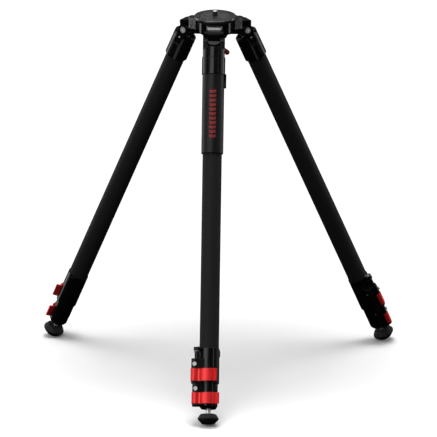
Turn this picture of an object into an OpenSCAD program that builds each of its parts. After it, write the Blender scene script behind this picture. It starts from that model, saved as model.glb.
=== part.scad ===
/* [Top plate] */
// Diameter of the round plate that the head sits on
plate_d = 78; // [76:1:96]
// Thickness of the plate at its rim
plate_rim_h = 3; // [2:0.5:4]
// Diameter of the plate's underside, where its cone ends
plate_foot_d = 68; // [60:1:70]
// Height of the plate with its cone
plate_h = 9; // [6:0.5:9]
// Width of each concentric groove in the plate's face
groove_w = 1; // [0.6:0.1:1.4]
// Number of concentric grooves
groove_count = 5; // [1:1:6]
// Diameter of the head stud, a 3/8 inch thread
stud_d = 9.525; // [6.35:0.005:12]
// Height of the head stud above the plate
stud_h = 10; // [6:0.5:16]
// Diameter of the set screws that lock the head
set_screw_d = 4; // [3:0.5:5]
// Distance of each set screw from the plate's centre
set_screw_r = 20.5; // [16:0.5:21]

/* [Hub] */
// Diameter of the hub's round body
hub_d = 63.5; // [58:0.5:68]
// Depth of the hub's vertical side below the plate's face
hub_side_bottom = 29; // [26:0.5:30]
// Depth of the hub's flat bottom below the plate's face
hub_bottom = 37; // [34:0.5:40]
// Width of each arm between the two cheeks of its yoke
arm_w = 24; // [20:0.5:26]
// Radius of the concave corner between an arm and the hub's body
corner_r = 14; // [10:0.5:16]

/* [Leg hinge] */
// Distance of each hinge bolt from the tripod's axis
pin_reach = 59; // [58:0.5:70]
// Depth of each hinge bolt below the plate's face
pin_drop = 32.4; // [32:0.2:36]
// Angle of a spread leg from vertical
spread = 25; // [20:1:30]
// Diameter of the hinge bolt's shank
bolt_d = 8; // [6:0.5:9]
// Diameter of the hinge bolt's head
bolt_head_d = 11.5; // [10:0.5:13]
// Height of the hinge bolt's head
bolt_head_h = 3.8; // [3:0.2:4.4]

/* [Yoke] */
// Thickness of each cheek
cheek_t = 7.8; // [6.5:0.1:9]
// Radius of a cheek's round top
cheek_r = 10; // [9:0.5:11]
// Outer diameter of the socket that holds the upper tube
socket_d = 42.8; // [41:0.1:46]
// Distance along the leg from the hinge bolt to the socket's end
socket_end = 62.8; // [50:0.2:80]
// Distance along the leg from the hinge bolt to the slot's sides
slot_floor = 10.6; // [10.6:0.2:13]
// Depth of the slot's round bottom below its sides
slot_sag = 5.2; // [3:0.2:6]

/* [Angle latch] */
// Width of the latch across the leg
latch_w = 35; // [30:1:40]
// Distance that the latch reaches inward from the hinge bolt
latch_back = 8.6; // [8:0.2:10]
// Distance that the latch reaches outward from the hinge bolt
latch_front = 8; // [7.5:0.5:10]
// Height of the latch's top above the hinge bolt
latch_top = 19.6; // [18.5:0.1:21]
// Width of the bright stop block that the latch bears on
stop_w = 24.7; // [18:0.1:28]

/* [Tubes] */
// Outer diameter of the upper tube
tube_d = 36; // [32:0.5:38]
// Wall thickness of every tube
tube_wall = 1.5; // [1:0.1:2]
// Radial gap between two tubes, which the guide bush fills
tube_gap = 0.8; // [0.6:0.1:1.2]
// Distance along the leg from the hinge bolt to the upper tube's end
upper_end = 618; // [450:1:700]
// Length of each guide bush
bush_len = 70; // [40:5:100]

/* [Clamps] */
// Wall thickness of a clamp around its tube
clamp_wall = 1.3; // [1.2:0.1:2]
// Length of the collar above the upper clamp's lug
collar_len = 19.6; // [18:0.1:24]
// Length of the upper clamp's lug above the tube's end
upper_lug_above = 20.8; // [18:0.1:28]
// Length of the upper clamp's lug
upper_lug_len = 45.4; // [44:0.2:54]
// Length of the lower clamp's lug
lower_lug_len = 42; // [40:0.2:48]
// Radius of a lug's round outer edge
lug_r = 6.2; // [5:0.1:6.5]
// Distance of a clamp screw below its lug's top
screw_inset = 10.4; // [8:0.1:11]

/* [Levers] */
// Length of the upper lever along the leg
upper_lever_h = 23.2; // [18:0.2:24]
// Length of the lower lever along the leg
lower_lever_h = 21.1; // [16:0.1:22]
// Thickness of a lever's band
lever_t = 3.2; // [2.5:0.1:4]
// Radius of a lever's pivot boss
boss_r = 7.3; // [6:0.1:8]
// Diameter of a lever's pivot pin
lever_pin_d = 4; // [3:0.5:5]
// Length of a lever's finger tip
tip_len = 6.5; // [4:0.5:12]
// Angle round the tube where the upper lever's band ends
upper_band_end = 24; // [10:1:30]
// Angle round the tube where the lower lever's band ends
lower_band_end = 40; // [10:1:45]

/* [Feet] */
// Largest diameter of a rubber foot
foot_d = 39; // [32:1:44]
// Height of a rubber foot
foot_h = 18.5; // [16:0.5:28]
// Diameter of the bright stem above a foot
stem_d = 8.6; // [6:0.2:12]
// Length of the stem that shows above a foot
stem_h = 9.5; // [3:0.5:12]

/* [Grip] */
// Outer diameter of the foam grip on the front leg
grip_d = 41.1; // [38:0.1:46]
// Length of the foam grip
grip_len = 149; // [80:1:300]

/* [Release lever] */
// Diameter of the spindle that clamps the plate
spindle_d = 10; // [8:0.5:12]
// Distance of the release lever's bend from the tripod's axis
release_reach = 14.5; // [12:0.5:18]
// Diameter of the red knob
knob_d = 10; // [8:0.5:13]

/* [Fits] */
// Radial clearance of a shaft that turns in its bore
turn_gap = 0.05; // [0.02:0.01:0.1]
// Radial clearance of a tube that slides in its clamp
slide_gap = 0.08; // [0.03:0.01:0.1]
// Gap between moving pieces that don't guide each other
free_gap = 0.4; // [0.3:0.05:0.8]

/* [Hidden] */
$fn = 96;
eps = 0.01;
SIDES = ["front", "right", "left"];
LEG_TURN = [-90, 30, 150];
LEG_PIECES = [
    "yoke", "angle_latch", "upper_tube", "upper_clamp", "leg_fasteners", "upper_lever",
    "middle_tube", "middle_bush", "lower_clamp", "lower_fasteners", "lower_lever",
    "lower_tube", "lower_bush", "foot_plug", "foot_stem", "rubber_foot"
];
HUB_PIECES = [
    "hub_casting", "top_plate", "plate_set_screws", "head_stud", "clamp_spindle",
    "release_lever", "release_knob", "hub_cap", "hinge_bolts", "hinge_washers",
    "stop_blocks", "front_grip_sleeve"
];

// Plate, hub and cheeks
stud_root_d = stud_d + 2.5;
hub_r = hub_d / 2;
arm_top = plate_h + 2.4;
saddle_z = 3;
stop_from = plate_foot_d / 2 + 1.2;
stop_to = pin_reach - latch_back - free_gap;
stop_top = plate_h - 0.4;
knuckle_r = cheek_r - 0.5;
washer_t = 0.4;
slot_w = arm_w + 2 * washer_t + 0.2;
slot_side = 0.6;
cheek_out = slot_w / 2 + cheek_t;
rib_w = 10;
rib_out = socket_d / 2 + 0.25;
seam = 30.5;
floor_r = 13.5;
shoulder_h = 5.5;
bolt_head_gap = 0.35;
bolt_reach = cheek_out - 0.5;
cheek_screw_s = 16;
cheek_screw_d = 3.6;
cheek_screw_from = tube_d / 2 + 0.5;
cheek_screw_proud = 0.4;
seam_groove_w = 1.2;
seam_groove_t = 0.4;

// Latch, in the arm's own directions, from the hinge bolt
bridge_back = -0.2;
stem_inset = 0.3;
bridge_front = 5.5;
bridge_z = cheek_r + 0.2;
bridge_t = 3;
rail_w = 10;
rail_h = 3.3;
latch_z = bridge_z + bridge_t + 0.3;
lip_h = 5.4;
tooth_len = 3;
tooth_drop = latch_z - knuckle_r - free_gap;

// Tubes and the stations along the leg, from the hinge bolt
tube_top = slot_floor + slot_sag + 3.4;
middle_d = tube_d - 2 * tube_wall - 2 * tube_gap;
lower_d = middle_d - 2 * tube_wall - 2 * tube_gap;
middle_top = tube_top + 8;
lower_top = middle_top + 38;
upper_lug_from = upper_end - upper_lug_above;
upper_lug_to = upper_lug_from + upper_lug_len;
lower_lug_from = upper_lug_to + free_gap;
lower_lug_to = lower_lug_from + lower_lug_len;
middle_end = lower_lug_from + 21;
lower_end = lower_lug_to + free_gap;
plug_flange_h = 4.6;
stem_from = lower_end + plug_flange_h;
foot_from = stem_from + stem_h;
plug_len = 28;

// Clamps and levers
upper_collar_r = tube_d / 2 + clamp_wall;
lower_collar_r = middle_d / 2 + clamp_wall;
screw_d = 4;
screw_head_d = 7.5;
screw_head_h = 1.6;
lever_inset = 3.6;
lug_back = -7;
slit_w = 0.8;
adjuster_d = 11.5;
adjuster_h = 8.4;
adjuster_neck_d = 8.5;
adjuster_neck_h = 14;
pivot_in = 7.3;
pivot_out = 7;
pin_above = 4;
pin_below = 2.6;
lug_corner = 2;
upper_lever_to = upper_lug_to - lever_inset;
upper_lever_from = upper_lever_to - upper_lever_h;
lower_lever_to = lower_lug_to - lever_inset;
lower_lever_from = lower_lever_to - lower_lever_h;

// Release lever, under the hub
spindle_top = plate_h + free_gap;
spindle_bottom = hub_bottom + 21;
knob_tilt = 130;
release_end_z = -spindle_bottom - 7;
release_arm_d = 7;

// Colours
casting_colour = [0.10, 0.10, 0.11];
plate_colour = [0.32, 0.32, 0.33];
carbon_colour = [0.17, 0.17, 0.18];
steel_colour = [0.80, 0.80, 0.82];
red_colour = [0.82, 0.12, 0.14];
rubber_colour = [0.06, 0.06, 0.06];
grip_colour = [0.13, 0.13, 0.13];
bush_colour = [0.70, 0.68, 0.62];

// Places: +X outward from the tripod's axis, at the hinge bolt
module on_arm(leg) {
    rotate([0, 0, LEG_TURN[leg]])
        translate([pin_reach, 0, -pin_drop])
            children();
}

// The same, turned so that the leg hangs along -Z
module on_leg(leg) {
    on_arm(leg) rotate([0, -spread, 0]) children();
}

// A round ring between two stations along the leg
module ring(outer_d, inner_d, from, to) {
    translate([0, 0, -to])
        difference() {
            cylinder(d = outer_d, h = to - from);
            translate([0, 0, -eps]) cylinder(d = inner_d, h = to - from + 2 * eps);
        }
}

// A flat outline drawn across the leg, between two stations
module between(from, to) {
    translate([0, 0, -to]) linear_extrude(to - from) children();
}

// An outline drawn in X and Z, extruded along Y about the middle
module across(width) {
    rotate([90, 0, 0]) linear_extrude(width, center = true) children();
}

// Top plate
module plate_blank() {
    edge = 0.6;
    plate_r = plate_d / 2;
    rotate_extrude()
        polygon([
            [0, 0], [plate_r - edge, 0], [plate_r, -edge], [plate_r, -plate_rim_h],
            [plate_foot_d / 2, -plate_h], [0, -plate_h]
        ]);
}

module plate_grooves() {
    groove_pitch = 2 * groove_w;
    groove_depth = 0.5;
    outermost = plate_d / 2 - 2.5;
    for (i = [0:groove_count - 1])
        translate([0, 0, -groove_depth])
            difference() {
                cylinder(r = outermost - i * groove_pitch, h = 1);
                translate([0, 0, -eps])
                    cylinder(r = outermost - i * groove_pitch - groove_w, h = 1 + 2 * eps);
            }
}

// A short arc-shaped slot takes a head's locating pin
module locating_slot() {
    slot_r = plate_d / 2 - 7;
    half_turn = 9;
    far = plate_d;
    translate([0, 0, -1.5])
        linear_extrude(3)
            rotate(112)
                intersection() {
                    difference() {
                        circle(r = slot_r + 1.4);
                        circle(r = slot_r - 1.4);
                    }
                    polygon([
                        [0, 0], far * [cos(half_turn), -sin(half_turn)],
                        far * [cos(half_turn), sin(half_turn)]
                    ]);
                }
}

module top_plate() {
    color(plate_colour)
        difference() {
            plate_blank();
            plate_grooves();
            locating_slot();
            translate([0, 0, -plate_h - eps]) cylinder(d = stud_root_d, h = plate_h + 1);
            for (turn = [60, 180, 300])
                rotate([0, 0, turn])
                    translate([set_screw_r, 0, -plate_h - eps])
                        cylinder(d = set_screw_d, h = plate_h + 1);
        }
}

module plate_set_screws() {
    sunk = 1.5;
    color(steel_colour)
        for (turn = [60, 180, 300])
            rotate([0, 0, turn])
                translate([set_screw_r, 0, -plate_h])
                    difference() {
                        cylinder(d = set_screw_d, h = plate_h - sunk);
                        translate([0, 0, plate_h - sunk - 2]) cylinder(d = 2, h = 3, $fn = 6);
                    }
}

// The stud stands on a wider root that is sunk in the plate
module head_stud() {
    chamfer = 0.8;
    color(steel_colour)
        rotate_extrude()
            polygon([
                [0, -plate_h], [stud_root_d / 2, -plate_h], [stud_root_d / 2, 0], [stud_d / 2, 0],
                [stud_d / 2, stud_h - chamfer], [stud_d / 2 - chamfer, stud_h], [0, stud_h]
            ]);
}

// Hub
module arm_corner() {
    corner_y = arm_w / 2 + corner_r;
    corner_x = sqrt(pow(hub_r + corner_r, 2) - pow(corner_y, 2));
    difference() {
        polygon([[0, 0], [corner_x, 0], [corner_x, corner_y]]);
        translate([corner_x, corner_y]) circle(r = corner_r);
    }
}

module hub_arm() {
    across(arm_w) {
        polygon([
            [0, -hub_bottom], [hub_r - 4, -hub_bottom], [pin_reach, -pin_drop - knuckle_r],
            [pin_reach, -pin_drop + saddle_z], [hub_r + 2, -pin_drop + saddle_z],
            [hub_r + 2, -arm_top], [0, -arm_top]
        ]);
        translate([pin_reach, -pin_drop]) circle(r = knuckle_r);
    }
    for (flip = [0, 1])
        mirror([0, flip, 0])
            between(arm_top, hub_side_bottom - 1) arm_corner();
}

module hub_casting() {
    color(casting_colour)
        difference() {
            union() {
                rotate_extrude()
                    polygon([
                        [0, -plate_h], [hub_r, -plate_h], [hub_r, -hub_side_bottom],
                        [hub_r - 8, -hub_bottom], [0, -hub_bottom]
                    ]);
                for (leg = [0:2]) rotate([0, 0, LEG_TURN[leg]]) hub_arm();
            }
            for (leg = [0:2])
                on_arm(leg) rotate([90, 0, 0]) cylinder(d = bolt_d, h = arm_w + 1, center = true);
            translate([0, 0, -hub_bottom - 1])
                cylinder(d = spindle_d + 2 * turn_gap, h = hub_bottom);
            for (leg = [0:2]) rotate([0, 0, LEG_TURN[leg]]) stop_block();
        }
}

// The block stands on its arm, clear of the plate's cone
module stop_block() {
    between(stop_top, pin_drop - saddle_z)
        translate([stop_from, -stop_w / 2]) square([stop_to - stop_from, stop_w]);
}

module stop_blocks() {
    color(steel_colour)
        for (leg = [0:2]) rotate([0, 0, LEG_TURN[leg]]) stop_block();
}

module hub_cap() {
    color(casting_colour)
        difference() {
            between(hub_bottom, hub_bottom + 4) circle(r = hub_r - 10);
            translate([0, 0, -hub_bottom - 5])
                cylinder(d = spindle_d + 2 * turn_gap, h = 10);
        }
}

module hinge_bolts() {
    socket_w = 5.8;
    socket_depth = 2.5;
    color(steel_colour)
        for (leg = [0:2])
            on_arm(leg)
                difference() {
                    union() {
                        rotate([90, 0, 0])
                            cylinder(d = bolt_d, h = 2 * bolt_reach, center = true);
                        for (side = [-1, 1])
                            rotate([-side * 90, 0, 0])
                                translate([0, 0, bolt_reach - bolt_head_h])
                                    cylinder(d = bolt_head_d, h = bolt_head_h);
                    }
                    for (side = [-1, 1])
                        rotate([-side * 90, 0, 0])
                            translate([0, 0, bolt_reach - socket_depth])
                                cylinder(d = socket_w, h = socket_depth + 1, $fn = 6);
                }
}

module hinge_washers() {
    color(bush_colour)
        for (leg = [0:2], side = [-1, 1])
            on_arm(leg)
                rotate([-side * 90, 0, 0])
                    translate([0, 0, arm_w / 2])
                        difference() {
                            cylinder(r = knuckle_r - 1, h = washer_t);
                            translate([0, 0, -eps])
                                cylinder(d = bolt_d, h = washer_t + 2 * eps);
                        }
}

// Release lever under the hub
module clamp_spindle() {
    color(steel_colour)
        between(spindle_top, spindle_bottom) circle(d = spindle_d);
}

module release_lever() {
    boss_h = 9;
    color(casting_colour)
        difference() {
            union() {
                between(spindle_bottom - boss_h, spindle_bottom + 2) circle(d = spindle_d + 8);
                hull() {
                    translate([spindle_d / 2 + 1, 0, -spindle_bottom + 3])
                        sphere(d = release_arm_d, $fn = 32);
                    translate([release_reach, 0, release_end_z])
                        sphere(d = release_arm_d, $fn = 32);
                }
            }
            between(spindle_bottom - boss_h - 1, spindle_bottom) circle(d = spindle_d);
        }
}

module release_knob() {
    knob_len = 15;
    color(red_colour)
        translate([release_reach, 0, release_end_z])
            rotate([0, knob_tilt, 0])
                difference() {
                    union() {
                        translate([0, 0, 1])
                            cylinder(d1 = knob_d - 2, d2 = knob_d, h = knob_len - 1 - knob_d / 2);
                        translate([0, 0, knob_len - knob_d / 2]) sphere(d = knob_d);
                    }
                    sphere(d = release_arm_d, $fn = 32);
                }
}

// Yoke at the top of a leg
module cheek_outline() {
    circle(r = cheek_r);
    polygon([[-cheek_r, 0], [cheek_r, 0], [rib_w / 2, -seam - 4], [-rib_w / 2, -seam - 4]]);
}

module yoke_shell() {
    intersection() {
        rotate_extrude()
            polygon([
                [0, -slot_floor], [floor_r, -slot_floor], [socket_d / 2, -slot_floor - shoulder_h],
                [socket_d / 2, -socket_end], [0, -socket_end]
            ]);
        union() {
            between(seam, socket_end) square(2 * socket_d, center = true);
            between(0, seam + eps) square([2 * socket_d, 2 * cheek_out], center = true);
        }
    }
    difference() {
        across(2 * cheek_out) cheek_outline();
        translate([-socket_d, -slot_w / 2, -slot_floor]) cube([2 * socket_d, slot_w, 2 * socket_d]);
    }
    between(seam, socket_end) square([rib_w, 2 * rib_out], center = true);
}

// The slot's bottom is an arc, seen along the leg's outward direction
module slot_bottom() {
    half_w = slot_w / 2 - slot_side;
    arc_r = (pow(half_w, 2) + pow(slot_sag, 2)) / (2 * slot_sag);
    intersection() {
        translate([-socket_d, 0, -slot_floor - slot_sag + arc_r])
            rotate([0, 90, 0]) cylinder(r = arc_r, h = 2 * socket_d);
        translate([-socket_d, -half_w, -slot_floor - slot_sag - 1])
            cube([2 * socket_d, 2 * half_w, slot_sag + 1 + eps]);
    }
}

module seam_groove() {
    between(seam + 1, seam + 1 + seam_groove_w)
        difference() {
            circle(d = socket_d + 2);
            circle(d = socket_d - 2 * seam_groove_t);
        }
}

module latch_bridge() {
    rotate([0, spread, 0]) {
        for (flip = [0, 1])
            mirror([0, flip, 0])
                translate([bridge_back, slot_w / 2 + stem_inset, cheek_r - 3])
                    cube([bridge_front - bridge_back, cheek_t - 2 * stem_inset, 3 + bridge_t]);
        translate([bridge_back, -cheek_out, bridge_z])
            cube([bridge_front - bridge_back, 2 * cheek_out, bridge_t]);
        translate([bridge_back, -rail_w / 2, bridge_z + bridge_t])
            cube([bridge_front - bridge_back, rail_w, rail_h]);
    }
}

module yoke() {
    color(casting_colour)
        difference() {
            union() {
                yoke_shell();
                latch_bridge();
            }
            between(tube_top, socket_end + 1) circle(d = tube_d);
            rotate([90, 0, 0])
                cylinder(d = bolt_d + 2 * turn_gap, h = 2 * cheek_out + 1, center = true);
            for (side = [-1, 1])
                rotate([-side * 90, 0, 0])
                    translate([0, 0, bolt_reach - bolt_head_h - free_gap])
                        cylinder(d = bolt_head_d + 2 * bolt_head_gap, h = 2 * bolt_head_h);
            cheek_screws();
            slot_bottom();
            seam_groove();
        }
}

module angle_latch() {
    lip_back = bridge_front + free_gap;
    color(casting_colour)
        difference() {
            union() {
                across(latch_w)
                    polygon([
                        [-latch_back, latch_z], [-latch_back, latch_top],
                        [latch_front - 6, latch_top - 0.3], [latch_front - 2, latch_top - 1.6],
                        [latch_front, latch_z - 2 + lip_h], [latch_front, latch_z - 2],
                        [lip_back, latch_z - 2], [lip_back, latch_z]
                    ]);
                translate([-latch_back, -arm_w / 2, latch_z - tooth_drop])
                    cube([tooth_len, arm_w, tooth_drop + 1]);
            }
            translate([-latch_back + tooth_len, -rail_w / 2 - free_gap, latch_z - 1])
                cube([lip_back + latch_back - tooth_len, rail_w + 2 * free_gap, rail_h + 1]);
        }
}

// Tubes
module upper_tube() {
    color(carbon_colour) ring(tube_d, tube_d - 2 * tube_wall, tube_top, upper_end);
}

module middle_tube() {
    color(carbon_colour) ring(middle_d, middle_d - 2 * tube_wall, middle_top, middle_end);
}

module lower_tube() {
    color(carbon_colour) ring(lower_d, lower_d - 2 * tube_wall, lower_top, lower_end);
}

// A bush fills the gap between two tubes, less its sliding clearance
module guide_bush(inner_tube_d, top) {
    color(bush_colour)
        ring(inner_tube_d + 2 * tube_gap - 2 * slide_gap, inner_tube_d, top, top + bush_len);
}

// Clamps: the lever's pivot stands beside the tube, at pivot(collar_r)
function pivot(collar_r) = [collar_r - pivot_in, -collar_r - pivot_out];

module lug_outline(collar_r) {
    p = pivot(collar_r);
    front = p[0] + lug_r;
    translate(p) circle(r = lug_r);
    translate([lug_back, p[1] - lug_r + lug_corner])
        square([p[0] - lug_back, lug_r + lug_corner]);
    translate([lug_back + lug_corner, p[1] - lug_r])
        square([p[0] - lug_back - lug_corner, lug_r + lug_corner]);
    translate([lug_back + lug_corner, p[1] - lug_r + lug_corner]) circle(r = lug_corner, $fn = 32);
    translate([lug_back, p[1]]) square([front - lug_back, -p[1] - collar_r * 0.42]);
}

module clamp_body(collar_r, bore_d, lug_from, lug_to, lever_from, lever_to) {
    p = pivot(collar_r);
    difference() {
        union() {
            between(lug_from, lug_to) circle(r = collar_r);
            between(lug_from, lug_to) lug_outline(collar_r);
        }
        between(lug_from - 1, lug_to + 1) circle(d = bore_d);
        between(lug_from - 1, lug_to + 1)
            translate([-slit_w / 2, p[1] - 2 * lug_r])
                square([slit_w, 2 * lug_r - p[1] - bore_d / 2 + 1]);
        between(lever_from - free_gap, lever_to + free_gap) lever_space(collar_r);
        between(lever_from - pin_above, lever_to + pin_below)
            translate(p) circle(d = lever_pin_d);
        translate([lug_back - 1, p[1], -lug_from - screw_inset])
            rotate([0, 90, 0]) cylinder(d = screw_d, h = 4 * lug_r + 20);
    }
}

// Room for the lever's boss and web through its whole swing
module lever_space(collar_r) {
    p = pivot(collar_r);
    difference() {
        union() {
            translate(p) circle(r = boss_r + free_gap);
            translate([p[0] - 4, p[1] - 20]) square([40, 20 - p[1]]);
        }
        circle(r = collar_r);
    }
}

module upper_clamp() {
    color(casting_colour)
        difference() {
            union() {
                clamp_body(
                    upper_collar_r, middle_d + 2 * slide_gap, upper_lug_from, upper_lug_to,
                    upper_lever_from, upper_lever_to
                );
                ring(2 * upper_collar_r, tube_d, upper_lug_from - collar_len, upper_lug_from + 1);
                collar_bump();
            }
            between(upper_lug_from - collar_len - 1, upper_end) circle(d = tube_d);
        }
}

module collar_bump() {
    bump_w = 8;
    bump_from = upper_lug_from - 16;
    between(bump_from, bump_from + 11)
        translate([-bump_w / 2, upper_collar_r - 1]) square([bump_w, 2.2]);
}

module lower_clamp() {
    color(casting_colour)
        difference() {
            clamp_body(
                lower_collar_r, lower_d + 2 * slide_gap, lower_lug_from, lower_lug_to,
                lower_lever_from, lower_lever_to
            );
            between(lower_lug_from - 1, middle_end) circle(d = middle_d);
        }
}

module clamp_screw(collar_r, lug_from) {
    p = pivot(collar_r);
    front = p[0] + lug_r;
    translate([0, p[1], -lug_from - screw_inset])
        rotate([0, 90, 0])
            difference() {
                union() {
                    translate([0, 0, lug_back]) cylinder(d = screw_d, h = front - lug_back + eps);
                    translate([0, 0, front]) cylinder(d = screw_head_d, h = screw_head_h);
                }
                translate([0, 0, front + screw_head_h - 1]) cylinder(d = 3.4, h = 2, $fn = 6);
            }
}

module lever_pin(collar_r, lever_from, lever_to) {
    between(lever_from - pin_above, lever_to + pin_below)
        translate(pivot(collar_r)) circle(d = lever_pin_d);
}

// A small screw in each cheek sets the hinge's tension
module cheek_screws() {
    for (side = [-1, 1])
        rotate([-side * 90, 0, 0])
            translate([0, side * cheek_screw_s, cheek_screw_from])
                cylinder(d = cheek_screw_d, h = cheek_out + cheek_screw_proud - cheek_screw_from);
}

module leg_fasteners() {
    adjuster_y = pivot(upper_collar_r)[1] + 4;
    neck_from = upper_lug_from - adjuster_neck_h;
    color(steel_colour) {
        cheek_screws();
        clamp_screw(upper_collar_r, upper_lug_from);
        lever_pin(upper_collar_r, upper_lever_from, upper_lever_to);
        translate([pivot(upper_collar_r)[0], adjuster_y, 0]) {
            between(neck_from, upper_lug_from) circle(d = adjuster_neck_d);
            between(neck_from - adjuster_h, neck_from) circle(d = adjuster_d);
        }
    }
}

module lower_fasteners() {
    color(steel_colour) {
        clamp_screw(lower_collar_r, lower_lug_from);
        lever_pin(lower_collar_r, lower_lever_from, lower_lever_to);
    }
}

// A lever's outline: boss, web, band around the clamp and a lifted finger tip
module lever_outline(collar_r, band_end) {
    p = pivot(collar_r);
    inner = collar_r + free_gap;
    outer = inner + lever_t;
    web_turn = -48;
    web_w = 5.4;
    reach = 3 * outer;
    web_to = (inner + outer) / 2 * [cos(web_turn), sin(web_turn)];
    web_len = norm(web_to - p);
    web_dir = atan2(web_to[1] - p[1], web_to[0] - p[0]);
    tip_dir = band_end + 12;
    difference() {
        union() {
            translate(p) circle(r = boss_r);
            translate(p) rotate(web_dir) translate([0, -web_w / 2]) square([web_len, web_w]);
            intersection() {
                circle(r = outer);
                polygon([
                    [0, 0], reach * [cos(web_turn), sin(web_turn)], [reach, 0],
                    reach * [cos(band_end), sin(band_end)]
                ]);
            }
        }
        circle(r = inner);
        translate(p) circle(d = lever_pin_d + 2 * turn_gap);
    }
    rotate(band_end)
        translate([inner, 0])
            rotate(tip_dir - band_end)
                translate([0, -0.5]) square([tip_len + lever_t, lever_t]);
}

module upper_lever() {
    color(red_colour)
        between(upper_lever_from, upper_lever_to) lever_outline(upper_collar_r, upper_band_end);
}

module lower_lever() {
    color(red_colour)
        between(lower_lever_from, lower_lever_to) lever_outline(lower_collar_r, lower_band_end);
}

// Foot
module foot_plug() {
    flange_d = 33.5;
    color(casting_colour)
        difference() {
            union() {
                between(lower_end - plug_len, lower_end) circle(d = lower_d - 2 * tube_wall);
                translate([0, 0, -stem_from])
                    cylinder(d1 = flange_d - 6, d2 = flange_d, h = plug_flange_h);
            }
            between(lower_end - plug_len / 2, stem_from + 1) circle(d = stem_d);
        }
}

module foot_stem() {
    color(steel_colour)
        between(lower_end - plug_len / 2, foot_from + 12) circle(d = stem_d);
}

module rubber_foot() {
    foot_r = foot_d / 2;
    top_r = foot_r - 4;
    tread_r = foot_r - 8;
    belly = foot_h * 0.48;
    edge = 2;
    color(rubber_colour)
        difference() {
            translate([0, 0, -foot_from])
                rotate_extrude()
                    polygon([
                        [0, 0], [top_r - edge, 0], [top_r, -edge * 0.6], [foot_r - 0.4, -belly + edge],
                        [foot_r, -belly], [foot_r - 0.6, -belly - edge], [tread_r + edge, -foot_h + edge],
                        [tread_r, -foot_h + edge * 0.2], [tread_r - edge, -foot_h], [0, -foot_h]
                    ]);
            between(foot_from - 1, foot_from + 12) circle(d = stem_d);
        }
}

// Foam grip on the front leg
module grip_sleeve() {
    lug_len = 24;
    lug_w = 9;
    lug_out = grip_d / 2 + 2.5;
    grip_to = socket_end + grip_len;
    color(grip_colour)
        difference() {
            union() {
                between(socket_end, grip_to) circle(d = grip_d);
                between(socket_end, socket_end + lug_len)
                    translate([-lug_w / 2, 0]) square([lug_w, lug_out]);
            }
            between(socket_end - 1, grip_to + 1) circle(d = tube_d);
        }
}

hub_casting();
top_plate();
plate_set_screws();
head_stud();
clamp_spindle();
release_lever();
release_knob();
hub_cap();
hinge_bolts();
hinge_washers();
stop_blocks();
on_leg(0) grip_sleeve();  // front_grip_sleeve
for (leg = [0:2]) {
    side = SIDES[leg];
    on_leg(leg) yoke();
    on_arm(leg) angle_latch();
    on_leg(leg) upper_tube();
    on_leg(leg) upper_clamp();
    on_leg(leg) leg_fasteners();
    on_leg(leg) upper_lever();
    on_leg(leg) middle_tube();
    on_leg(leg) guide_bush(middle_d, middle_top);
    on_leg(leg) lower_clamp();
    on_leg(leg) lower_fasteners();
    on_leg(leg) lower_lever();
    on_leg(leg) lower_tube();
    on_leg(leg) guide_bush(lower_d, lower_top);
    on_leg(leg) foot_plug();
    on_leg(leg) foot_stem();
    on_leg(leg) rubber_foot();
}
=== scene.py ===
import math

import bmesh
import bpy
from mathutils import Matrix, Vector


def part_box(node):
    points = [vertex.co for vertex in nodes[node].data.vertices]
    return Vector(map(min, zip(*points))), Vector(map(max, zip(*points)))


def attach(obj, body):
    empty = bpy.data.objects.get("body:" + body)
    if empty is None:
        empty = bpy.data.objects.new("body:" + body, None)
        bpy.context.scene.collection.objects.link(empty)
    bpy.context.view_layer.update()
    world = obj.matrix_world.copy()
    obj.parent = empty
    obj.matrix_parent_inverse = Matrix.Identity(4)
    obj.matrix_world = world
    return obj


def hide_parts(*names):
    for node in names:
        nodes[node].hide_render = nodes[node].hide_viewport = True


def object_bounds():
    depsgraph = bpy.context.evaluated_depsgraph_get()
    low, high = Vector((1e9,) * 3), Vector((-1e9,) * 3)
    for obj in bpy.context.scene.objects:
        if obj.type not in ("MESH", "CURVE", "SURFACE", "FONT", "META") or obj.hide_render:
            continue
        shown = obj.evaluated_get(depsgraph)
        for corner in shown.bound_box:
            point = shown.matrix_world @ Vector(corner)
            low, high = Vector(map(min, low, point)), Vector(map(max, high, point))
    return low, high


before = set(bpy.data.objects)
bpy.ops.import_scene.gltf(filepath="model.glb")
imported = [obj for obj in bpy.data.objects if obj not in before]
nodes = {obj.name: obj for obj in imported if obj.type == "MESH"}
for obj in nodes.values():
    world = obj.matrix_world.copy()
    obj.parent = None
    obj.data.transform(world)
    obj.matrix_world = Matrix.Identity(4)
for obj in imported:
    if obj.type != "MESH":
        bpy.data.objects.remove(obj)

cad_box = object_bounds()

MM = 0.001
SIDES = ("front", "right", "left")
LEG_TURN = {"front": -90, "right": 30, "left": 150}
SPREAD = 25
PIN_REACH = 59 * MM
PIN_DROP = 32.4 * MM
STOP_FACE = 50 * MM
GRIP_R = 20.55 * MM
GRIP_FROM = 62.8 * MM
GRIP_TO = 211.8 * MM
NOISE_LOW = 0.3
NOISE_HIGH = 0.7


# Places

def arm_frame(side):
    """The arm's frame: origin on the hinge bolt, +X outward, +Z up."""
    turn = Matrix.Rotation(math.radians(LEG_TURN[side]), 4, "Z")
    return turn @ Matrix.Translation((PIN_REACH, 0, -PIN_DROP))


def leg_frame(side):
    """The leg's own frame: origin on the hinge bolt, +X outward, the leg along -Z."""
    return arm_frame(side) @ Matrix.Rotation(math.radians(-SPREAD), 4, "Y")


# Camera

ELEVATION = math.radians(17.513)
AZIMUTH = math.radians(2.071)
LENS = 1690
SENSOR = 36
VIEW_WIDTH = 0.81480
TARGET_RIGHT = 0.00629
TARGET_UP = -0.37846

right = Vector((math.cos(AZIMUTH), math.sin(AZIMUTH), 0))
back = Vector((
    math.sin(AZIMUTH) * math.cos(ELEVATION),
    -math.cos(AZIMUTH) * math.cos(ELEVATION),
    math.sin(ELEVATION),
))
up = back.cross(right)

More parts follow.
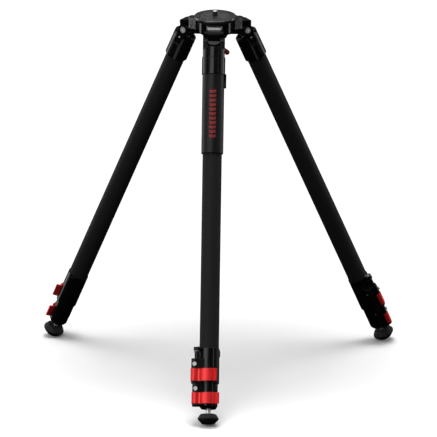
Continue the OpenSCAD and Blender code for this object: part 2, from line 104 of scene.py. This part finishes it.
camera_data = bpy.data.cameras.new("camera")
camera_data.lens = LENS
camera_data.sensor_width = SENSOR
camera_data.clip_start = 1
camera_data.clip_end = 120
camera = bpy.data.objects.new("camera", camera_data)
bpy.context.scene.collection.objects.link(camera)
target = right * TARGET_RIGHT + up * TARGET_UP
distance = VIEW_WIDTH * LENS / SENSOR
facing = Matrix((right, up, back)).transposed().to_4x4()
camera.matrix_world = Matrix.Translation(target + back * distance) @ facing
bpy.context.scene.camera = camera


# Node helpers

class Shader:
    """A procedural material with a Principled surface, built from small node helpers."""

    def __init__(self, name, roughness=0.5, metallic=0.0, specular=0.5, coat=0.0, sheen=0.0):
        self.material = bpy.data.materials.new(name)
        self.material.use_nodes = True
        self.tree = self.material.node_tree
        self.tree.nodes.clear()
        self.surface = self.node("ShaderNodeBsdfPrincipled")
        output = self.node("ShaderNodeOutputMaterial")
        self.link(self.surface.outputs["BSDF"], output.inputs["Surface"])
        self.set("Roughness", roughness)
        self.set("Metallic", metallic)
        self.set("Specular IOR Level", specular)
        self.set("Coat Weight", coat)
        self.set("Coat Roughness", 0.15)
        self.set("Sheen Weight", sheen)
        self.place = self.node("ShaderNodeTexCoord").outputs["Object"]

    def node(self, kind):
        return self.tree.nodes.new(kind)

    def link(self, source, target):
        self.tree.links.new(source, target)

    def set(self, socket, value):
        self.surface.inputs[socket].default_value = value

    def feed(self, socket, value):
        if isinstance(value, bpy.types.NodeSocket):
            self.link(value, socket)
        else:
            socket.default_value = value

    def math(self, operation, a, b=0.0):
        node = self.node("ShaderNodeMath")
        node.operation = operation
        for socket, value in zip(node.inputs, (a, b)):
            self.feed(socket, value)
        return node.outputs[0]

    def spread(self, value, low, high, to_low=0.0, to_high=1.0, smooth=False):
        node = self.node("ShaderNodeMapRange")
        if smooth:
            node.interpolation_type = "SMOOTHSTEP"
        for socket, part in zip(node.inputs, (value, low, high, to_low, to_high)):
            self.feed(socket, part)
        return node.outputs[0]

    def noise(self, scale, detail=3.0, roughness=0.55, place=None, stretch=None):
        node = self.node("ShaderNodeTexNoise")
        node.inputs["Scale"].default_value = scale
        node.inputs["Detail"].default_value = detail
        node.inputs["Roughness"].default_value = roughness
        source = place or self.place
        if stretch:
            mapping = self.node("ShaderNodeMapping")
            mapping.inputs["Scale"].default_value = stretch
            self.link(source, mapping.inputs["Vector"])
            source = mapping.outputs["Vector"]
        self.link(source, node.inputs["Vector"])
        return node.outputs["Fac"]

    def mix(self, factor, a, b):
        node = self.node("ShaderNodeMix")
        node.data_type = "RGBA"
        self.feed(node.inputs["Factor"], factor)
        for socket, value in zip(node.inputs[6:8], (a, b)):
            self.feed(socket, (*value, 1) if isinstance(value, tuple) else value)
        return node.outputs[2]

    def paint(self, socket, value):
        self.feed(self.surface.inputs[socket], value)

    def gloss(self, cloud, low, high, grain=None, share=0.0):
        """Roughness that wanders from low to high with a noise, plus a share of a finer one."""
        roughness = self.spread(cloud, NOISE_LOW, NOISE_HIGH, low, high)
        if grain is not None:
            roughness = self.math("ADD", roughness, self.math("MULTIPLY", grain, share))
        self.paint("Roughness", roughness)

    def rounded(self, radius):
        node = self.node("ShaderNodeBevel")
        node.samples = 6
        node.inputs["Radius"].default_value = radius
        return node.outputs["Normal"]

    def bump(self, height, distance, strength=1.0, normal=None):
        node = self.node("ShaderNodeBump")
        node.inputs["Strength"].default_value = strength
        node.inputs["Distance"].default_value = distance
        self.link(height, node.inputs["Height"])
        if normal:
            self.link(normal, node.inputs["Normal"])
        return node.outputs["Normal"]

    def in_leg(self, side):
        """Coordinates in the leg's own frame, in metres."""
        inverse = leg_frame(side).inverted()
        node = self.node("ShaderNodeMapping")
        node.inputs["Location"].default_value = inverse.to_translation()
        node.inputs["Rotation"].default_value = inverse.to_euler("XYZ")
        self.link(self.place, node.inputs["Vector"])
        return node.outputs["Vector"]

    def split(self, vector):
        node = self.node("ShaderNodeSeparateXYZ")
        self.link(vector, node.inputs[0])
        return node.outputs


# Materials

def casting(name="casting", specular=0.24):
    """Black semi-gloss coated castings: fine orange peel, faint cloudy gloss, rounded edges."""
    s = Shader(name, specular=specular)
    cloud = s.noise(60, 4)
    peel = s.noise(1400, 2)
    fleck = s.noise(5200, 1)
    s.paint("Base Color", s.mix(cloud, (0.0016, 0.0016, 0.0018), (0.0045, 0.0045, 0.0048)))
    s.gloss(cloud, 0.10, 0.17, fleck, 0.04)
    grain = s.math("ADD", peel, s.math("MULTIPLY", fleck, 0.35))
    s.paint("Normal", s.bump(grain, 0.00003, 0.5, s.rounded(0.0006)))
    return s.material


def turned_plate():
    """Anodised, turned plate: fine concentric tool marks, a slightly uneven grey and painted shade
    in the groove bottoms.
    """
    s = Shader("plate", metallic=0.9, specular=0.5)
    tool_mark = 0.45 * MM
    groove_from, groove_to, groove_pitch = 27.4 * MM, 36.5 * MM, 2 * MM
    x, y, _ = s.split(s.place)
    radius = s.math("SQRT", s.math("ADD", s.math("MULTIPLY", x, x), s.math("MULTIPLY", y, y)))
    ring = s.math("SINE", s.math("MULTIPLY", radius, 2 * math.pi / tool_mark))
    cloud = s.noise(90, 4)
    speck = s.noise(3000, 2)
    inward = s.math("SUBTRACT", groove_to, radius)
    groove = s.math("FRACT", s.math("DIVIDE", inward, groove_pitch))
    grooved = s.math("GREATER_THAN", radius, groove_from)
    # Painted shade: the bottom half of each groove is darkened in the colour.
    groove_shade = s.math("MULTIPLY", s.math("LESS_THAN", groove, 0.5), grooved)
    face = s.mix(cloud, (0.13, 0.13, 0.132), (0.27, 0.27, 0.275))
    s.paint("Base Color", s.mix(groove_shade, face, (0.05, 0.05, 0.051)))
    s.gloss(cloud, 0.20, 0.29, speck, 0.05)
    height = s.math("ADD", s.math("MULTIPLY", ring, 0.5), s.math("MULTIPLY", speck, 0.5))
    s.paint("Normal", s.bump(height, 0.000008, 0.4, s.rounded(0.0003)))
    return s.material


def carbon(side, tows):
    """A 2/2 twill of carbon tows that runs round and along the tube, with the tows' sheen painted
    into the colour.
    """
    s = Shader("carbon_%s_%d" % (side, tows), specular=0.08)
    tow = 2 * MM
    leg = s.in_leg(side)
    x, y, z = s.split(leg)
    turn = s.math("ADD", s.math("DIVIDE", s.math("ARCTAN2", y, x), 2 * math.pi), 0.5)
    across = s.math("MULTIPLY", turn, tows)
    along = s.math("DIVIDE", z, -tow)
    step = s.math("ADD", s.math("FLOOR", across), s.math("FLOOR", along))
    over = s.math("LESS_THAN", s.math("FLOORED_MODULO", step, 4), 2)
    lengthwise = s.math("SINE", s.math("MULTIPLY", s.math("FRACT", across), math.pi))
    crosswise = s.math("SINE", s.math("MULTIPLY", s.math("FRACT", along), math.pi))
    under = s.math("SUBTRACT", 1.0, over)
    crown = s.math("ADD", s.math("MULTIPLY", over, lengthwise), s.math("MULTIPLY", under, crosswise))
    fibre = s.noise(900, 2, place=leg, stretch=(1, 1, 0.06))
    cloud = s.noise(25, 3, place=leg)
    # Painted sheen: the tows on top of the twill and the crowns of the tows are painted lighter;
    # fibre and cloud add random tone.
    shade = s.math("ADD", s.math("MULTIPLY", over, 0.45), s.math("MULTIPLY", crown, 0.35))
    shade = s.math("ADD", shade, s.math("MULTIPLY", s.math("ADD", fibre, cloud), 0.2))
    s.paint("Base Color", s.mix(shade, (0.0075, 0.0075, 0.0077), (0.0170, 0.0170, 0.0175)))
    s.paint("Roughness", s.spread(crown, 0, 1, 0.66, 0.54))
    height = s.math("ADD", crown, s.math("MULTIPLY", fibre, 0.3))
    s.paint("Normal", s.bump(height, 0.00006, 0.6))
    return s.material


def steel(name="steel", shade=0.56, roughness=0.2, metallic=1.0):
    """Bright plated steel with fine scratches and soft stains."""
    s = Shader(name, metallic=metallic)
    cloud = s.noise(240, 4)
    scratch = s.noise(2600, 2, stretch=(1, 1, 0.08))
    low = (shade * 0.82, shade * 0.82, shade * 0.83)
    s.paint("Base Color", s.mix(cloud, low, (shade, shade, shade * 1.01)))
    s.gloss(cloud, roughness - 0.04, roughness + 0.06, scratch, 0.06)
    s.paint("Normal", s.bump(scratch, 0.00001, 0.5, s.rounded(0.0002)))
    return s.material


def red_anodised():
    """Bright red anodised levers: satin, slightly uneven dye, fine brushed lines."""
    s = Shader("red_anodised", metallic=0.72, specular=0.5, coat=0.30)
    cloud = s.noise(120, 3)
    brush = s.noise(1600, 2, stretch=(1, 1, 0.12))
    s.paint("Base Color", s.mix(cloud, (0.76, 0.016, 0.017), (0.98, 0.036, 0.038)))
    s.gloss(cloud, 0.44, 0.52, brush, 0.08)
    s.paint("Normal", s.bump(brush, 0.000015, 0.5, s.rounded(0.0006)))
    return s.material


def red_plastic():
    """Moulded dark red plastic: faintly mottled, with a fine grain."""
    s = Shader("red_plastic", specular=0.5)
    cloud = s.noise(200, 3)
    grain = s.noise(2200, 2)
    s.paint("Base Color", s.mix(cloud, (0.13, 0.005, 0.006), (0.21, 0.009, 0.010)))
    s.gloss(grain, 0.3, 0.45)
    s.paint("Normal", s.bump(grain, 0.00003, 0.5, s.rounded(0.0004)))
    return s.material


def rubber():
    """Moulded rubber feet: matt, dusty in places, with a fine pitted grain."""
    s = Shader("rubber", specular=0.28)
    dust = s.noise(70, 5, 0.6)
    grain = s.noise(1800, 3)
    dusty = s.spread(dust, 0.35, 0.75)
    s.paint("Base Color", s.mix(dusty, (0.004, 0.004, 0.004), (0.017, 0.016, 0.016)))
    s.gloss(dust, 0.5, 0.68)
    s.paint("Normal", s.bump(grain, 0.00012, 0.5, s.rounded(0.0012)))
    return s.material


def foam(side):
    """Closed-cell foam sleeve: matt, with fine cells and a soft sheen at grazing light."""
    s = Shader("foam", specular=0.22, sheen=0.02)
    leg = s.in_leg(side)
    cells = s.node("ShaderNodeTexVoronoi")
    cells.inputs["Scale"].default_value = 1500
    s.link(leg, cells.inputs["Vector"])
    pores = cells.outputs["Distance"]
    cloud = s.noise(45, 4, place=leg)
    shade = s.math("MULTIPLY", s.math("ADD", pores, cloud), 0.6)
    s.paint("Base Color", s.mix(shade, (0.0012, 0.0012, 0.0013), (0.0042, 0.0042, 0.0044)))
    s.gloss(cloud, 0.36, 0.46)
    s.paint("Normal", s.bump(pores, 0.00005, 0.6, s.rounded(0.001)))
    return s.material


def nylon():
    """Off-white nylon of the guide bushes and washers."""
    s = Shader("bush", specular=0.4)
    cloud = s.noise(150, 3)
    s.paint("Base Color", s.mix(cloud, (0.42, 0.40, 0.35), (0.55, 0.53, 0.47)))
    s.gloss(cloud, 0.4, 0.55)
    s.paint("Normal", s.bump(s.noise(2500, 2), 0.00002, 0.4))
    return s.material


def print_ink():
    """Faded screen-printed red on the foam: thin and broken where the cells show through."""
    s = Shader("print_ink", specular=0.25)
    wear = s.noise(420, 5, 0.65)
    cells = s.noise(2400, 2)
    cover = s.spread(s.math("ADD", wear, s.math("MULTIPLY", cells, 0.35)), 0.42, 0.78)
    s.paint("Base Color", s.mix(cover, (0.075, 0.010, 0.010), (0.235, 0.020, 0.022)))
    s.gloss(cells, 0.5, 0.68)
    s.paint("Normal", s.bump(cells, 0.00006, 0.5))
    return s.material


def stop_block():
    """Cast stop blocks: a machined bright face outward, speckled sides, and upward faces painted
    near-black as shade.
    """
    s = Shader("stop", metallic=0.35)
    x, y, _ = s.split(s.place)
    reach = None
    for turn in LEG_TURN.values():
        a = math.radians(turn)
        outward = (s.math("MULTIPLY", x, math.cos(a)), s.math("MULTIPLY", y, math.sin(a)))
        along = s.math("ADD", *outward)
        reach = along if reach is None else s.math("MAXIMUM", reach, along)
    face = s.spread(reach, STOP_FACE - 0.8 * MM, STOP_FACE - 0.4 * MM)
    speck = s.noise(900, 4, 0.7)
    cloud = s.noise(300, 3)
    sides = s.mix(s.spread(speck, 0.48, 0.62), (0.03, 0.03, 0.031), (0.50, 0.50, 0.51))
    bright = s.mix(cloud, (0.80, 0.80, 0.81), (0.93, 0.93, 0.94))
    normal = s.node("ShaderNodeNewGeometry").outputs["Normal"]
    # Painted shade: faces that point up are painted near-black.
    painted_top_shade = s.spread(s.split(normal)[2], 0.4, 0.7)
    s.paint("Base Color", s.mix(painted_top_shade, s.mix(face, sides, bright), (0.008, 0.008, 0.008)))
    s.paint("Roughness", s.spread(face, 0, 1, 0.5, 0.36))
    s.paint("Normal", s.bump(speck, 0.00008, 0.5, s.rounded(0.0005)))
    return s.material


def blackened_stud(top):
    """Blackened thread, with the top turns and the chamfer painted bright as a highlight."""
    s = Shader("stud", metallic=1.0)
    z = s.split(s.place)[2]
    cloud = s.noise(600, 4)
    height = s.math("ADD", z, s.math("MULTIPLY", cloud, 0.6 * MM))
    # Painted highlight: the top 1.3 mm of the stud, broken up by the cloud, is painted bright.
    top_highlight = s.spread(height, top - 1.3 * MM, top - 0.3 * MM)
    dark = s.mix(cloud, (0.022, 0.022, 0.023), (0.055, 0.055, 0.056))
    s.paint("Base Color", s.mix(top_highlight, dark, (0.85, 0.85, 0.84)))
    s.gloss(cloud, 0.26, 0.38)
    s.paint("Normal", s.bump(cloud, 0.00002, 0.4))
    return s.material


CASTING = casting()
LATCH = casting("latch_coat", 0.05)
CHROME = steel("chrome", 0.80, 0.30, 0.75)
RED = red_anodised()
RUBBER = rubber()
BUSH = nylon()
SHARED = {
    "hub_casting": CASTING, "hub_cap": CASTING, "release_lever": CASTING,
    "top_plate": turned_plate(), "plate_set_screws": steel("screw_steel", 0.34, 0.3),
    "clamp_spindle": steel(), "hinge_bolts": CHROME, "hinge_washers": BUSH,
    "stop_blocks": stop_block(), "release_knob": red_plastic(),
}
LEG_LOOKS = {
    "yoke": CASTING, "angle_latch": LATCH, "upper_clamp": CASTING, "lower_clamp": CASTING,
    "foot_plug": CASTING, "leg_fasteners": CHROME, "lower_fasteners": CHROME, "foot_stem": CHROME,
    "upper_lever": RED, "lower_lever": RED, "middle_bush": BUSH, "lower_bush": BUSH,
    "rubber_foot": RUBBER,
}
TOWS = {"upper_tube": 56, "middle_tube": 48, "lower_tube": 40}


def dress(name, material):
    """Gives a CAD node its one material."""
    mesh = nodes[name].data
    mesh.materials.clear()
    mesh.materials.append(material)


for name, material in SHARED.items():
    dress(name, material)
for side in SIDES:
    for piece, material in LEG_LOOKS.items():
        dress("%s_%s" % (side, piece), material)
    for piece, tows in TOWS.items():
        dress("%s_%s" % (side, piece), carbon(side, tows))


# Pieces

def add_piece(name, bm, material, body, place=None, smooth=True):
    """Makes a mesh piece at its place and rides it on a body."""
    mesh = bpy.data.meshes.new(name)
    if place is not None:
        bm.transform(place)
    bmesh.ops.recalc_face_normals(bm, faces=bm.faces)
    bm.to_mesh(mesh)
    bm.free()
    for polygon in mesh.polygons:
        polygon.use_smooth = smooth
    mesh.materials.append(material)
    piece = bpy.data.objects.new(name, mesh)
    bpy.context.scene.collection.objects.link(piece)
    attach(piece, body)
    return piece


def ring(bm, radii, z):
    """A ring of vertices round Z, with a radius for each vertex."""
    steps = len(radii)
    points = []
    for i, r in enumerate(radii):
        angle = 2 * math.pi * i / steps
        points.append(bm.verts.new((r * math.cos(angle), r * math.sin(angle), z)))
    return points


def skin(bm, rings):
    """Faces from each ring of vertices to the next."""
    for a, b in zip(rings, rings[1:]):
        count = len(a)
        for i in range(count):
            j = (i + 1) % count
            bm.faces.new((a[i], a[j], b[j], b[i]))


def thread(bm, top, steps):
    """A 3/8-16 thread from z = 0 up to top, as a helical skin; returns its lowest ring."""
    root_r, crest_r, pitch = 4.0 * MM, 4.7625 * MM, 1.5875 * MM
    chamfer = 0.8 * MM
    rows_per_turn = 14
    steepness, root_flat = 1.35, 0.18
    rows = int(top / pitch * rows_per_turn)
    grid = []
    for row in range(rows + 1):
        z = top * row / rows
        radii = []
        for i in range(steps):
            phase = (z / pitch - i / steps) % 1.0
            wave = abs(phase * 2 - 1)
            r = root_r + (crest_r - root_r) * min(1, max(0, steepness * wave - root_flat))
            radii.append(min(r, crest_r - max(0, z - (top - chamfer))))
        grid.append(ring(bm, radii, z))
    skin(bm, grid)
    bm.faces.new(grid[-1])
    return grid[0]


def head_stud():
    """Head stud: the thread on the sunk root, as one closed skin."""
    low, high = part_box("head_stud")
    steps = 64
    root_r = (high.x - low.x) / 2 - 0.01 * MM
    bm = bmesh.new()
    rings = [thread(bm, high.z, steps)]
    rings += [ring(bm, [root_r] * steps, z) for z in (0.0, low.z)]
    skin(bm, rings)
    bm.faces.new(rings[-1][::-1])
    piece = add_piece("stud_thread", bm, blackened_stud(high.z), "hub")
    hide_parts("head_stud")


head_stud()


def adjuster_cap(side):
    """Adjuster knob: a black cap with a ridged rim, and its neck, over the grip adjuster."""
    steps = 72
    cap_r, height, ridge = 6.05 * MM, 8.4 * MM, 0.22 * MM
    neck_r, neck = 4.4 * MM, 13.9 * MM
    base, crown = -0.05 * MM, height + 0.1 * MM
    lower = [(neck_r, -neck), (neck_r, base), (cap_r - 0.7 * MM, base)]
    rim = [(cap_r, 0.6 * MM), (cap_r, height - 0.9 * MM)]
    upper = [(cap_r - 0.8 * MM, crown), (2.4 * MM, crown), (2.0 * MM, height - 0.4 * MM)]
    bm = bmesh.new()
    rings = [ring(bm, [r] * steps, z) for r, z in lower]
    rings += [ring(bm, [r - ridge * (i % 2) for i in range(steps)], z) for r, z in rim]
    rings += [ring(bm, [r] * steps, z) for r, z in upper]
    skin(bm, rings)
    bm.faces.new(rings[0][::-1])
    bm.faces.new(rings[-1])
    place = leg_frame(side) @ Matrix.Translation(ADJUSTER)
    piece = add_piece(side + "_adjuster_cap", bm, CASTING, side + "_leg", place, smooth=False)


ADJUSTER = (12.0 * MM, -22.3 * MM, -583.2 * MM)
for side in SIDES:
    adjuster_cap(side)


# Hinge details: the arm's tongue, the yoke's lip and the latch's pull flap
def solid_between(bm, front, rear):
    """A closed solid between two outlines with the same number of points."""
    a = [bm.verts.new(p) for p in front]
    b = [bm.verts.new(p) for p in rear]
    skin(bm, [a, b])
    bm.faces.new(a[::-1])
    bm.faces.new(b)


def soften(bm, width):
    """Bevels each edge whose faces meet at more than sharp_angle radians."""
    sharp_angle = 0.6
    bmesh.ops.recalc_face_normals(bm, faces=bm.faces)
    sharp = [e for e in bm.edges if len(e.link_faces) == 2 and e.calc_face_angle() > sharp_angle]
    bmesh.ops.bevel(bm, geom=sharp, offset=width, segments=2, affect="EDGES")


def arm_tongue(side):
    """The flat, round-ended tongue on the arm's knuckle, facing out along the leg's +X."""
    half, top, shoulder, deep = 11.7 * MM, 3.6 * MM, 2.6 * MM, 8.3 * MM
    face, depth = 9.56 * MM, 4.6 * MM
    arc_half = 6
    outline = [(half, top)]
    for i in range(2 * arc_half + 1):
        w = half * (1 - i / arc_half)
        round_end = math.sqrt(max(0, 1 - (w / half) ** 2))
        outline.append((w, -shoulder - (deep - shoulder) * round_end))
    outline.append((-half, top))
    front = [(face, w, z) for w, z in outline]
    rear = [(face - depth, w, z) for w, z in outline]
    bm = bmesh.new()
    solid_between(bm, front, rear)
    soften(bm, 0.35 * MM)
    piece = add_piece(side + "_arm_tongue", bm, CASTING, "hub", leg_frame(side), smooth=False)


def yoke_lip(side):
    """The rounded lip that closes the bottom of the slot between the cheeks."""
    half, sides, middle, bottom = 12.35 * MM, 10.75 * MM, 12.3 * MM, 17 * MM
    socket_r, back = 21.34 * MM, -9 * MM
    steps = 16
    columns = []
    for i in range(steps + 1):
        w = half * (2 * i / steps - 1)
        top = -sides - (middle - sides) * (1 - (w / half) ** 2)
        out = math.sqrt(socket_r ** 2 - w ** 2)
        columns.append([(back, w, top), (out, w, top), (out, w, -bottom), (back, w, -bottom)])
    bm = bmesh.new()
    rings = [[bm.verts.new(p) for p in column] for column in columns]
    skin(bm, rings)
    bm.faces.new(rings[0][::-1])
    bm.faces.new(rings[-1])
    piece = add_piece(side + "_yoke_lip", bm, CASTING, side + "_leg", leg_frame(side), smooth=False)


def latch_flap(side):
    """The flap that hangs from the latch in front of the knuckle, to pull it out by."""
    half = 11.6 * MM
    root, front, inner = 5.0 * MM, 11.4 * MM, 10.3 * MM
    top, under, low = 16.6 * MM, 13.8 * MM, 4.3 * MM
    corner = [(front - 0.4 * MM, top), (front, top - 0.8 * MM)]
    profile = [(root, top), *corner, (front, low), (inner, low), (inner, under), (root, under)]
    bm = bmesh.new()
    solid_between(bm, [(x, half, z) for x, z in profile], [(x, -half, z) for x, z in profile])
    soften(bm, 0.3 * MM)
    name = side + "_latch_flap"
    piece = add_piece(name, bm, LATCH, side + "_latch", arm_frame(side), smooth=False)


for side in SIDES:
    arm_tongue(side)
    yoke_lip(side)
    latch_flap(side)


# Grip

def foam_sleeve():
    """A tight closed foam sleeve with rolled ends, and its rounded side tab."""
    bore_r = 18.02 * MM
    roll, lip, hold = 1.2 * MM, 0.4 * MM, 0.5 * MM
    steps, arc_steps = 96, 6
    turns = [math.pi / 2 * i / arc_steps for i in range(arc_steps + 1)]
    profile = [(bore_r, GRIP_FROM + lip), (bore_r + lip, GRIP_FROM)]
    for a in turns:
        profile.append((GRIP_R - roll + roll * math.sin(a), GRIP_FROM + roll - roll * math.cos(a)))
    profile += [(GRIP_R, GRIP_FROM + roll + hold), (GRIP_R, GRIP_TO - roll - hold)]
    for a in turns:
        profile.append((GRIP_R - roll + roll * math.cos(a), GRIP_TO - roll + roll * math.sin(a)))
    profile += [(bore_r + lip, GRIP_TO), (bore_r, GRIP_TO - lip)]
    bm = bmesh.new()
    rings = [ring(bm, [r] * steps, -s) for r, s in profile]
    skin(bm, rings + rings[:1])

    tab_w, tab_len, tab_from, tab_to = 9 * MM, 24 * MM, 18.5 * MM, 23.05 * MM
    middle = (0, (tab_from + tab_to) / 2, -(GRIP_FROM + tab_len / 2))
    tab = bmesh.ops.create_cube(bm, size=1)["verts"]
    for vert in tab:
        x, y, z = vert.co
        vert.co = (tab_w * x, middle[1] + (tab_to - tab_from) * y, middle[2] - tab_len * z)
    edges = {edge for vert in tab for edge in vert.link_edges}
    bmesh.ops.bevel(bm, geom=list(edges), offset=1.0 * MM, segments=3, profile=0.5, affect="EDGES")
    piece = add_piece("front_foam_sleeve", bm, foam("front"), "front_leg", leg_frame("front"))
    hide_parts("front_grip_sleeve")


def grip_mark():
    """Generic red marking on the grip: a ladder of short, bowed bars."""
    radius = GRIP_R + 0.06 * MM
    count, start, pitch = 11, 93 * MM, 8.4 * MM
    bar_len, half_width, bow = 5.2 * MM, 6.4 * MM, 1.2 * MM
    columns, rows = 16, 4
    bm = bmesh.new()
    for bar in range(count):
        grid = []
        for row in range(rows + 1):
            line = []
            for column in range(columns + 1):
                w = half_width * (2 * column / columns - 1)
                bowed = bow * (1 - (w / half_width) ** 2)
                s = start + bar * pitch + bar_len * row / rows + bowed
                angle = w / radius
                point = (radius * math.cos(angle), radius * math.sin(angle), -s)
                line.append(bm.verts.new(point))
            grid.append(line)
        for a, b in zip(grid, grid[1:]):
            for i in range(columns):
                bm.faces.new((a[i], a[i + 1], b[i + 1], b[i]))
    piece = add_piece("front_grip_mark", bm, print_ink(), "front_leg", leg_frame("front"))


foam_sleeve()
grip_mark()


# Studio

def studio_floor():
    """A pale floor: a painted soft grey pool of shade under the legs that fades into glowing white.
    """
    half_x, half_y, middle_y = 0.46, 0.42, 0.02
    drop = 0.2 * MM
    s = Shader("floor", roughness=0.16, specular=0.35)
    x, y, _ = s.split(s.place)
    dx = s.math("DIVIDE", x, half_x)
    dy = s.math("DIVIDE", s.math("SUBTRACT", y, middle_y), half_y)
    reach = s.math("SQRT", s.math("ADD", s.math("MULTIPLY", dx, dx), s.math("MULTIPLY", dy, dy)))
    cloud = s.math("MULTIPLY", s.noise(6, 2), 0.04)
    # Painted shade: the floor is greyer towards the middle under the tripod.
    shade_pool = s.spread(s.math("ADD", reach, cloud), 0.40, 0.95, 0.0, 1.0, smooth=True)
    far = s.spread(reach, 0.85, 1.25, 0.0, 1.0, smooth=True)
    near = s.mix(shade_pool, (0.74, 0.74, 0.74), (0.97, 0.97, 0.97))
    s.paint("Base Color", s.mix(far, near, (0.10, 0.10, 0.10)))
    s.paint("Emission Color", s.mix(far, (0.0, 0.0, 0.0), (1.0, 1.0, 1.0)))
    s.set("Emission Strength", 1.0)
    bm = bmesh.new()
    bmesh.ops.create_grid(bm, x_segments=8, y_segments=8, size=40)
    mesh = bpy.data.meshes.new("floor")
    bm.to_mesh(mesh)
    bm.free()
    mesh.materials.append(s.material)
    floor = bpy.data.objects.new("floor", mesh)
    floor.location.z = cad_box[0].z - drop
    floor.visible_glossy = False
    floor.visible_diffuse = False
    bpy.context.scene.collection.objects.link(floor)


def studio_world():
    """White to the camera; for light, a dome that dims low down, high up and to the front."""
    world = bpy.data.worlds.new("studio")
    bpy.context.scene.world = world
    world.use_nodes = True
    tree = world.node_tree
    tree.nodes.clear()

    def fade(source, values, smooth=True):
        node = tree.nodes.new("ShaderNodeMapRange")
        if smooth:
            node.interpolation_type = "SMOOTHSTEP"
        for socket, value in zip(node.inputs[1:5], values):
            socket.default_value = value
        tree.links.new(source, node.inputs["Value"])
        return node.outputs[0]

    def product(a, b):
        node = tree.nodes.new("ShaderNodeMath")
        node.operation = "MULTIPLY"
        tree.links.new(a, node.inputs[0])
        tree.links.new(b, node.inputs[1])
        return node.outputs[0]

    place = tree.nodes.new("ShaderNodeTexCoord").outputs["Generated"]
    split = tree.nodes.new("ShaderNodeSeparateXYZ")
    tree.links.new(place, split.inputs[0])
    above = fade(split.outputs["Z"], (0.35, 0.80, 1.0, 0.40))
    below = fade(split.outputs["Z"], (-0.30, 0.0, 0.06, 1.0), smooth=False)
    behind = fade(split.outputs["Y"], (-0.3, 0.6, 0.05, 0.14))
    dome = product(product(above, below), behind)
    seen = tree.nodes.new("ShaderNodeLightPath").outputs["Is Camera Ray"]
    strength = tree.nodes.new("ShaderNodeMix")
    strength.data_type = "FLOAT"
    tree.links.new(seen, strength.inputs[0])
    tree.links.new(dome, strength.inputs[2])
    strength.inputs[3].default_value = 1.0
    background = tree.nodes.new("ShaderNodeBackground")
    background.inputs["Color"].default_value = (1, 1, 1, 1)
    output = tree.nodes.new("ShaderNodeOutputWorld")
    tree.links.new(strength.outputs[0], background.inputs["Strength"])
    tree.links.new(background.outputs[0], output.inputs["Surface"])


def softbox(name, place, aim, size, power, lean=0.0, mirrored=True):
    """A rectangular light; lean turns it about its own axis, in degrees.

    mirrored=False keeps it out of reflections, so it doesn't blow out the plate from above.
    """
    light = bpy.data.lights.new(name, "AREA")
    light.shape = "RECTANGLE"
    light.size, light.size_y = size
    light.energy = power
    lamp = bpy.data.objects.new(name, light)
    bpy.context.scene.collection.objects.link(lamp)
    direction = Vector(aim) - Vector(place)
    facing = direction.to_track_quat("-Z", "Y").to_matrix().to_4x4()
    leaned = Matrix.Rotation(math.radians(lean), 4, "Z")
    lamp.matrix_world = Matrix.Translation(place) @ facing @ leaned
    lamp.visible_camera = False
    lamp.visible_glossy = mirrored


studio_floor()
studio_world()
softbox("key", (-0.85, -1.48, 0.48), (0, -0.15, -0.30), (0.70, 2.1), 14.5, lean=-57)
softbox("right_front", (1.7, -1.40, 0.35), (0, 0, -0.1), (0.25, 0.9), 1.8)
softbox("left_rim", (-2.0, 1.10, -0.1), (0, 0, -0.2), (1.0, 1.5), 10)
softbox("right_rim", (2.0, 1.10, -0.1), (0, 0, -0.2), (0.8, 1.5), 6.5)
softbox("left_wall", (-3.4, 0.6, 0.9), (0, 0, -0.6), (2.2, 2.2), 14)
softbox("right_wall", (3.4, 0.6, 0.9), (0, 0, -0.6), (2.2, 2.2), 14)
softbox("low_left", (-0.47, -0.72, -0.62), (-0.1, -0.05, -0.1), (0.42, 0.30), 0.42)
softbox("low_right", (0.50, -0.72, -0.62), (0.1, -0.05, -0.1), (0.30, 0.24), 0.20)
softbox("top", (0, 0.3, 3.4), (0, 0, -0.7), (5.0, 5.0), 120)
softbox("overhead", (0, 0, 2.6), (0, 0, -0.7), (1.0, 1.0), 66, mirrored=False)

scene = bpy.context.scene
scene.view_settings.view_transform = "Standard"
scene.view_settings.look = "None"
